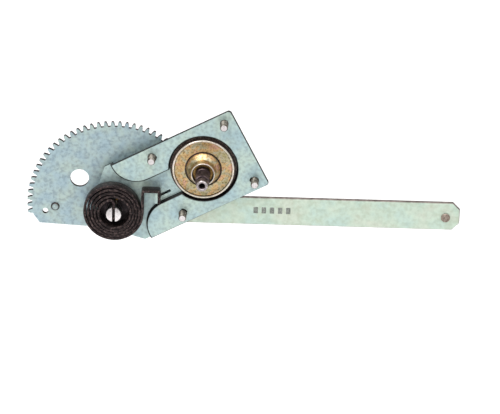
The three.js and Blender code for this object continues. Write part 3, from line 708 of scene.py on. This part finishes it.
makeRing("drum_bearing", "drum_bush", oiledBronze, drumBushValues)
makeRing("spindle_bearing", "spindle_bush", oiledBronze, spindleBushValues)
makeRing("pivot_bearing", "pivot_bush", oiledBronze, pivotBushValues)
makeRing("pinion_thrust_washer", "pinion_washer", brightZinc, pinionWasherValues)
makeRing("pivot_thrust_washer", "pivot_washer", brightZinc, pivotWasherValues)
makeRing("roller_thrust_washer", "roller_washer", brightZinc, rollerWasherValues)


# Roller: moulded, with a sunk web on both sides and a slightly crowned tread.
rollerValues = {
    "bore": 3.15,
    "hub": 4.6,
    "webFrom": 4.9,
    "webTo": 6.2,
    "webSunk": 0.4,
    "rim": 6.6,
    "tread": 8.0,
    "crown": [(0.7, 0.05), (0.2, 0.5), (0.05, 1.3)],       # in from the tread, in from the side
    "edge": 0.1,
}


def makeRoller(v):
    at = spanOf("roller")
    side = [(v["bore"], 0), (v["hub"], 0), (v["webFrom"], v["webSunk"]), (v["webTo"], v["webSunk"]),
            (v["rim"], 0)]
    side += [(v["tread"] - inward, sunk) for inward, sunk in v["crown"]]
    section = [(radius, at["back"] + sunk) for radius, sunk in side]
    section += [(v["tread"], (at["back"] + at["front"]) / 2)]
    section += [(radius, at["front"] - sunk) for radius, sunk in side[::-1]]
    return turnRing("nylon_roller", "roller", section, naturalNylon, v["edge"], 96)


makeRoller(rollerValues)
print("bearings, washers and roller turned")


# Crank spindle: turned shaft, 36 rolled serrations for the handle, tapped bright end.
spindleValues = {
    "radius": 5.5,
    "neck": 4.0,
    "groove": 3.3,
    "serrations": 36,
    "serrationDepth": 0.5,
    "serrationFrom": 14.0,
    "serrationTo": 27.0,
    "tip": 4.3,
    "tap": 2.35,
    "tapRoot": 2.1,
    "tapDepth": 12.0,
    "tapPitch": 0.8,
    "step": 0.3,
    "clipSlack": 0.1,
}


def makeSpindle(v):
    top, bottom, radius, neck, step = spindle["front"], spindle["back"], v["radius"], v["neck"], v["step"]
    clip = spanOf("spindle_clip")
    clipBack, clipFront = clip["back"] - v["clipSlack"], clip["front"] + v["clipSlack"]
    shoulder = spanOf("drive_pinion")["front"] + faceGap
    first, last = v["serrationFrom"], v["serrationTo"]
    section = [
        (0, bottom), (neck - 0.5, bottom), (neck, bottom + 0.5), (neck, clipBack), (v["groove"], clipBack),
        (v["groove"], clipFront), (neck, clipFront), (neck, shoulder), (radius - step, shoulder),
        (radius, shoulder + step), (radius, first - 2 * step), (radius - 0.35, first - step),
        (radius - 0.35, first + 0.1), (radius, first + 2 * step), (radius, last - 0.7),
        (radius - 0.7, last), (v["tip"], last), (v["tip"], top - 0.7), (v["tip"] - 0.7, top),
        (v["tap"] + 0.35, top), (v["tap"], top - 0.4),
    ]
    turns = int((v["tapDepth"] - 1.0) / v["tapPitch"])
    for i in range(turns):
        down = top - 0.4 - i * v["tapPitch"]
        section += [(v["tapRoot"], down - 0.4 * v["tapPitch"]), (v["tap"], down - v["tapPitch"])]
    section += [(v["tapRoot"], top - v["tapDepth"]), (0, top - v["tapDepth"] - 1.2)]
    piece = turnPiece("serrated_spindle", 0, 0, section, 2 * v["serrations"])
    editPiece(piece)
    bpy.ops.mesh.select_all(action="DESELECT")
    mesh = bmesh.from_edit_mesh(piece.data)
    for vert in mesh.verts:
        forward = -vert.co.y / mm
        if first + 0.5 < forward < last - 0.1 and hypot(vert.co.x, vert.co.z) > (radius - 1.0) * mm:
            turn = round(atan2(vert.co.z, vert.co.x) * v["serrations"] / pi)
            vert.select_set(turn % 2 == 1)
    bmesh.update_edit_mesh(piece.data)
    share = 1 - v["serrationDepth"] / radius
    bpy.ops.transform.resize(value=(share, 1, share), center_override=(0, 0, 0))
    leavePiece()
    smooth(piece, 24)
    fit(piece, "crank_spindle", brownedSpindle, wornEnd)
    paintFaces(piece, 1, lambda face: face.center.y < -(top - 0.75) * mm
               and hypot(face.center.x, face.center.z) > v["tap"] * mm)
    return piece


makeSpindle(spindleValues)
print("spindle serrated")


# Pinion, dogs, clips and sector: blanked or machined shapes with their edges broken.
pinionValues = {"edge": 0.15, "sharpest": 50}
dogValues = {"edge": 0.15, "sharpest": 40}
clipValues = {"edge": 0.15, "sharpest": 40, "pivotClipTurn": 90}
sectorValues = {"edge": 0.32, "sharpest": 30}


def makeBlanked(name, node, finish, v):
    piece = copySolid(name, node)
    breakEdges(piece, v["edge"], angle=v["sharpest"])
    smoothSheet(piece)
    return fit(piece, node, finish)


# The pivot's clip is a horseshoe, turned so that its mouth faces up.
def turnPivotClip(piece, v):
    editPiece(piece)
    bpy.ops.mesh.select_all(action="SELECT")
    bpy.ops.transform.rotate(value=radians(v["pivotClipTurn"]), orient_axis="Y",
                             center_override=spot(pivot["x"], 0, pivot["up"]))
    leavePiece()


makeBlanked("pinion_gear", "drive_pinion", blackSteel, pinionValues)
makeBlanked("input_cam", "input_dog", brightZinc, dogValues)
makeBlanked("output_cam", "output_dog", brightZinc, dogValues)
makeBlanked("spindle_retainer", "spindle_clip", blackSteel, clipValues)
turnPivotClip(makeBlanked("pivot_retainer", "pivot_clip", blackSteel, clipValues), clipValues)
makeBlanked("toothed_sector", "sector_gear", sectorZinc, sectorValues)


# Lift arm: broad blanked strip, edges rolled over by the press, with five plain punch dents.
armValues = {
    "edge": 0.85,
    "sideFrom": 9.5,
    "endFrom": 6.5,
    "dents": 5,
    "dentFrom": 41.0,
    "dentStep": 6.3,
    "dentWidth": 3.4,
    "dentHeight": 5.2,
    "dentDepth": 0.5,
    "dentCorner": 0.3,
    "brokenEdge": 0.15,
}


def makeArm(v):
    piece = copySolid("lift_arm_strip", "lift_arm")
    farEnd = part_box("lift_arm")[1][0] / mm
    front, depth = arm["front"], v["dentDepth"]
    editPiece(piece)
    roundRim(piece, front, v["edge"], lambda middle, out: abs(middle.z - arm["up"]) > v["sideFrom"]
             or middle.x > farEnd - v["endFrom"])
    leavePiece()
    breakEdges(piece, v["brokenEdge"], 2, 50)
    for i in range(v["dents"]):
        bpy.ops.object.select_all(action="DESELECT")
        middle = spot(v["dentFrom"] + i * v["dentStep"], front + 0.5 - depth, pivot["up"])
        bpy.ops.mesh.primitive_cube_add(size=mm, location=middle)
        punch = bpy.context.object
        punch.scale = (v["dentWidth"], 1.0, v["dentHeight"])
        bpy.ops.object.transform_apply(location=True, rotation=False, scale=True)
        editPiece(punch)
        bpy.ops.mesh.select_all(action="SELECT")
        bpy.ops.mesh.bevel(offset=v["dentCorner"] * mm, segments=2, affect="EDGES")
        leavePiece()
        applyModifier(piece, "BOOLEAN", operation="DIFFERENCE", object=punch, solver="EXACT")
        bpy.data.objects.remove(punch)
    smoothSheet(piece)
    fit(piece, "lift_arm", armZinc, punchedZinc)

    def inDent(face):
        x, y, z = face.center / mm
        dentEnd = v["dentFrom"] + (v["dents"] - 1) * v["dentStep"] + v["dentWidth"]
        return (v["dentFrom"] - v["dentWidth"] < x < dentEnd and 0.05 < y + front < 2 * depth
                and abs(z - pivot["up"]) < 0.5 * v["dentHeight"])

    # The dents' floors and walls take the darker grey finish.
    paintFaces(piece, 1, inDent)
    return piece


makeArm(armValues)
print("sector and arm blanked")


# Rivets, domed at both ends.
armRivetValues = {"shank": 3.0, "head": 5.0, "domeSteps": 5}
stopRivetValues = {"shank": 2.0, "head": 3.4, "domeSteps": 5}


def domedHead(v, level, height):
    turns = [i * pi / 2 / v["domeSteps"] for i in range(v["domeSteps"] + 1)]
    return [(v["head"] * cos(turn), level + height * sin(turn)) for turn in turns]


def makeRivet(name, node, stackFront, finish, v):
    at = spanOf(node)
    stackBack = sector["back"] - faceGap
    section = domedHead(v, stackBack, at["back"] - stackBack)[::-1]
    section += [(v["shank"], stackBack), (v["shank"], stackFront + faceGap)]
    section += domedHead(v, stackFront + faceGap, at["front"] - stackFront - faceGap)
    piece = turnPiece(name, at["x"], at["up"], section, 40)
    smooth(piece, 50)
    return fit(piece, node, finish)


makeRivet("arm_rivet_inner", "arm_rivet_1", arm["front"], brightZinc, armRivetValues)
makeRivet("arm_rivet_outer", "arm_rivet_2", arm["front"], brightZinc, armRivetValues)
makeRivet("stop_rivet_domed", "stop_rivet", sector["front"], sectorZinc, stopRivetValues)


# Pivot stud: shouldered and grooved, its bright end slotted for the spring.
pivotValues = {
    "radius": 6.0,
    "neck": 5.0,
    "head": 7.5,
    "headRound": [(1.3, 0.0), (0.4, 0.35), (0.0, 1.0)],       # in from the head's side, up from its back
    "groove": 5.1,
    "clipSlack": 0.1,
    "slot": 2.3,
    "crown": [(0.0, 0.9), (0.3, 0.3), (0.9, 0.0)],            # in from the side, down from the end
    "brokenEdge": 0.12,
}


def makePivotStud(v):
    top, bottom, radius, head = pivot["front"], pivot["back"], v["radius"], v["head"]
    clip = spanOf("pivot_clip")
    clipBack, clipFront = clip["back"] - v["clipSlack"], clip["front"] + v["clipSlack"]
    headFront = spanOf("pivot_washer")["back"] - faceGap
    shoulder = arm["front"] + faceGap
    slotBack = spanOf("balance_spring")["back"] - faceGap
    section = [(0, bottom)] + [(head - inward, bottom + up) for inward, up in v["headRound"]]
    section += [(head, headFront - 0.2), (head - 0.2, headFront), (v["neck"], headFront),
                (v["neck"], shoulder), (radius - 0.25, shoulder), (radius, shoulder + 0.25),
                (radius, clipBack), (v["groove"], clipBack), (v["groove"], clipFront), (radius, clipFront)]
    section += [(radius - inward, top - down) for inward, down in v["crown"]] + [(0, top)]
    piece = turnPiece("slotted_pivot_stud", pivot["x"], pivot["up"], section, 64)
    bpy.ops.object.select_all(action="DESELECT")
    middle = spot(pivot["x"], (slotBack + top + 1) / 2, pivot["up"])
    bpy.ops.mesh.primitive_cube_add(size=mm, location=middle)
    cutter = bpy.context.object
    cutter.scale = (v["slot"], top + 1 - slotBack, 4 * radius)
    bpy.ops.object.transform_apply(location=True, rotation=False, scale=True)
    applyModifier(piece, "BOOLEAN", operation="DIFFERENCE", object=cutter, solver="EXACT")
    bpy.data.objects.remove(cutter)
    breakEdges(piece, v["brokenEdge"], angle=60)
    smooth(piece, 34)
    fit(piece, "pivot_stud", brightZinc, cutFace)
    paintFaces(piece, 1, lambda face: face.center.y < -(top - 0.95) * mm)
    return piece


makePivotStud(pivotValues)


# Roller stud: flat rear head, shank through roller and arm, end peened over and browned.
rollerStudValues = {
    "shank": 3.0,
    "head": 6.0,
    "headRound": [(0.8, 0.0), (0.3, 0.25), (0.0, 0.7)],       # in from the head's side, up from its back
    "headCorner": 0.15,
    "peen": [(3.4, 0.0), (3.6, 0.3), (3.45, 0.75)],           # radius, up from the arm
    "crater": [(2.9, 0.0), (1.6, 0.1), (0.9, 0.45), (0.0, 0.6)],      # radius, down from the end
}


def makeRollerStud(v):
    at = spanOf("roller_stud")
    back, front, head, corner = at["back"], at["front"], v["head"], v["headCorner"]
    headFront, peenBack = rollerAxle["back"] - faceGap, arm["front"] + faceGap
    section = [(0, back)] + [(head - inward, back + up) for inward, up in v["headRound"]]
    section += [(head, headFront - corner), (head - corner, headFront), (v["shank"], headFront),
                (v["shank"], peenBack)]
    section += [(radius, peenBack + up) for radius, up in v["peen"]]
    section += [(radius, front - down) for radius, down in v["crater"]]
    piece = turnPiece("peened_roller_stud", at["x"], at["up"], section, 48)
    smooth(piece, 45)
    return fit(piece, "roller_stud", brownedSteel)


makeRollerStud(rollerStudValues)
print("rivets and studs set")


# Balance spring: flat strip wound clockwise from the hook over the lug to the stud's slot.
springValues = {
    "outer": 22.9,
    "inner": 10.4,
    "strip": 1.9,
    "turns": 5,
    "bend": 3.0,
    "tail": 5.0,
    "hookAcross": 34.65,
    "hookTop": 18.65,
    "hookLength": 9.8,
    "hookBend": 1.2,
    "hookAlong": (32, 30, 28, 26),
    "hookDown": (14, 10, 6, 3),
    "stepsPerTurn": 72,
    "edgeRound": 0.35,
    "spread": 2.6,           # the outer turns stand wider on the side that the hook pulls from
    "spreadWay": 135.0,
    "heldPoints": 22,        # points of the hook that stay with the plate
    "stiffFrom": 0.97,       # past this share of its length the strip turns with the stud
}


def arcLine(x, y, radius, start, end, steps):
    return [Vector((x + radius * cos(start + (end - start) * i / steps),
                    y + radius * sin(start + (end - start) * i / steps))) for i in range(steps + 1)]


def springLine(v):
    outer, inner = v["outer"] - v["strip"] / 2, v["inner"] + v["strip"] / 2
    bendUp = sqrt((inner - v["bend"]) ** 2 - v["bend"] ** 2)
    bendFrom = atan2(bendUp, -v["bend"])
    sweep = v["turns"] * 2 * pi - bendFrom
    top, across, turn = v["hookTop"], v["hookAcross"], v["hookBend"]
    line = [Vector((across, top - v["hookLength"])), Vector((across, top - v["hookLength"] / 2))]
    line += arcLine(across - turn, top - turn, turn, 0, pi / 2, 8)
    line += [Vector((x, top)) for x in v["hookAlong"]]
    line += arcLine(outer + turn, top - turn, turn, pi / 2, pi, 8)
    line += [Vector((outer, y)) for y in v["hookDown"]]
    steps = round(v["turns"] * v["stepsPerTurn"])
    for i in range(steps):
        lean = 0.5 + 0.5 * cos(-sweep * i / steps - radians(v["spreadWay"]))
        radius = outer + (inner - outer) * i / steps + v["spread"] * lean * lean * (1 - i / steps)
        line.append(Vector((radius * cos(-sweep * i / steps), radius * sin(-sweep * i / steps))))
    line += arcLine(-v["bend"], bendUp, v["bend"], bendFrom, 0, 12)
    return line + [Vector((0, bendUp * 0.5)), Vector((0, -v["tail"] / 2)), Vector((0, -v["tail"]))]


# The strip's section: across the line and forward, with its four corners rounded.
def stripSection(half, back, front, edge):
    corner = [(-half, edge), (-half + edge * 0.3, edge * 0.3), (-half + edge, 0)]
    corner += [(-aside, sunk) for aside, sunk in corner[::-1]]
    return ([(aside, back + sunk) for aside, sunk in corner]
            + [(aside, front - sunk) for aside, sunk in corner[::-1]])


def makeBalanceSpring(v):
    at = spanOf("balance_spring")
    line = springLine(v)
    ring = stripSection(v["strip"] / 2, at["back"], at["front"], v["edgeRound"])
    verts, faces, share = [], [], []
    count = len(ring)
    lengths = [0.0]
    for here, after in zip(line, line[1:]):
        lengths.append(lengths[-1] + (after - here).length)
    for i, here in enumerate(line):
        along = (line[min(i + 1, len(line) - 1)] - line[max(i - 1, 0)]).normalized()
        for aside, forward in ring:
            x, up = here.x - along.y * aside, here.y + along.x * aside
            verts.append(spot(pivot["x"] + x, forward, pivot["up"] + up))
            share.append(lengths[i] / lengths[-1])
        if i:
            start = (i - 1) * count
            for k in range(count):
                beside = (k + 1) % count
                faces.append((start + k, start + beside, start + count + beside, start + count + k))
    last = (len(line) - 1) * count
    faces += [tuple(range(count))[::-1], tuple(range(last, last + count))]
    mesh = bpy.data.meshes.new("balance_spiral_spring")
    mesh.from_pydata(verts, [], faces)
    piece = bpy.data.objects.new("balance_spiral_spring", mesh)
    bpy.context.scene.collection.objects.link(piece)
    editPiece(piece)
    bpy.ops.mesh.select_all(action="SELECT")
    bpy.ops.mesh.normals_make_consistent(inside=False)
    leavePiece()
    smooth(piece, 50)
    piece.data.materials.append(springSteel)
    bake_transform(piece)
    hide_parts("balance_spring")
    return piece


makeBalanceSpring(springValues)
print("balance spring wound")


# Wrap spring: hidden in the drum, its coil rounded from the frame's own solid.
wrapValues = {"rounding": 1, "smoothAngle": 60}


def makeWrapCoil(v):
    piece = copySolid("brake_wrap_spring", "wrap_spring")
    applyModifier(piece, "SUBSURF", levels=v["rounding"], render_levels=v["rounding"])
    smooth(piece, v["smoothAngle"])
    return fit(piece, "wrap_spring", springSteel)


makeWrapCoil(wrapValues)
print("wrap spring coiled")


# Studio: a pale floor well below the part, soft front light, and a darker upper back so that edges
# facing up go dark.
stageValues = {
    "floorDrop": 0.6,
    "floorSize": 12.0,
    "floorTone": "#F4F4F4",
    "floorRoughness": 0.9,
    "frontGlow": 0.85,
    "backGlow": 0.06,
    "bankAim": (0.0, 0.85, 0.53),       # the way to the dark bank, back and up
    "bankEdge": 0.35,
    "bankCore": 0.75,
}

lightValues = {
    "overhead": {"place": (0.0, 0.7, 2.6), "aim": (0, 0.7, -0.6), "width": 4.5, "height": 3.2, "power": 130},
    "key": {"place": (-0.7, -1.1, 1.8), "aim": (0, 0, 0), "width": 0.8, "height": 0.8, "power": 20},
}


# The floor is matt white paper: even and without any shine.
def makeFloor(v):
    bpy.ops.object.select_all(action="DESELECT")
    bpy.ops.mesh.primitive_plane_add(size=v["floorSize"], location=(0, 0, -v["floorDrop"]))
    ground = bpy.context.object
    ground.name = ground.data.name = "floor"
    bpy.ops.object.transform_apply(location=True, rotation=False, scale=False)
    finish, tree, shader, place = startFinish("matt white paper", 0.0)
    shader.inputs["Base Color"].default_value = tone(v["floorTone"])
    shader.inputs["Roughness"].default_value = v["floorRoughness"]
    ground.data.materials.append(finish)


def addLight(name, v):
    light = bpy.data.lights.new(name, "AREA")
    light.shape = "RECTANGLE"
    light.size, light.size_y, light.energy = v["width"], v["height"], v["power"]
    holder = bpy.data.objects.new(name, light)
    bpy.context.scene.collection.objects.link(holder)
    holder.location = v["place"]
    holder.rotation_euler = (Vector(v["aim"]) - Vector(v["place"])).to_track_quat("-Z", "Y").to_euler()


# The world glows evenly except for a dark bank high at the back, which the edges facing up mirror.
def addSky(v):
    world = bpy.data.worlds.new("studio")
    world.use_nodes = True
    tree = world.node_tree
    way = addNode(tree, "ShaderNodeTexCoord")
    bank = addNode(tree, "ShaderNodeVectorMath", {0: (way, "Generated"), 1: v["bankAim"]},
                   operation="DOT_PRODUCT")
    glow = addNode(tree, "ShaderNodeMapRange", {
        "Value": (bank, "Value"), "From Min": v["bankEdge"], "From Max": v["bankCore"],
        "To Min": v["frontGlow"], "To Max": v["backGlow"]})
    back = tree.nodes["Background"]
    back.inputs["Color"].default_value = (1, 1, 1, 1)
    tree.links.new(glow.outputs[0], back.inputs["Strength"])
    bpy.context.scene.world = world


makeFloor(stageValues)
addSky(stageValues)
for name, values in lightValues.items():
    addLight(name, values)
bpy.context.scene.view_settings.view_transform = "Standard"
print("studio lit")
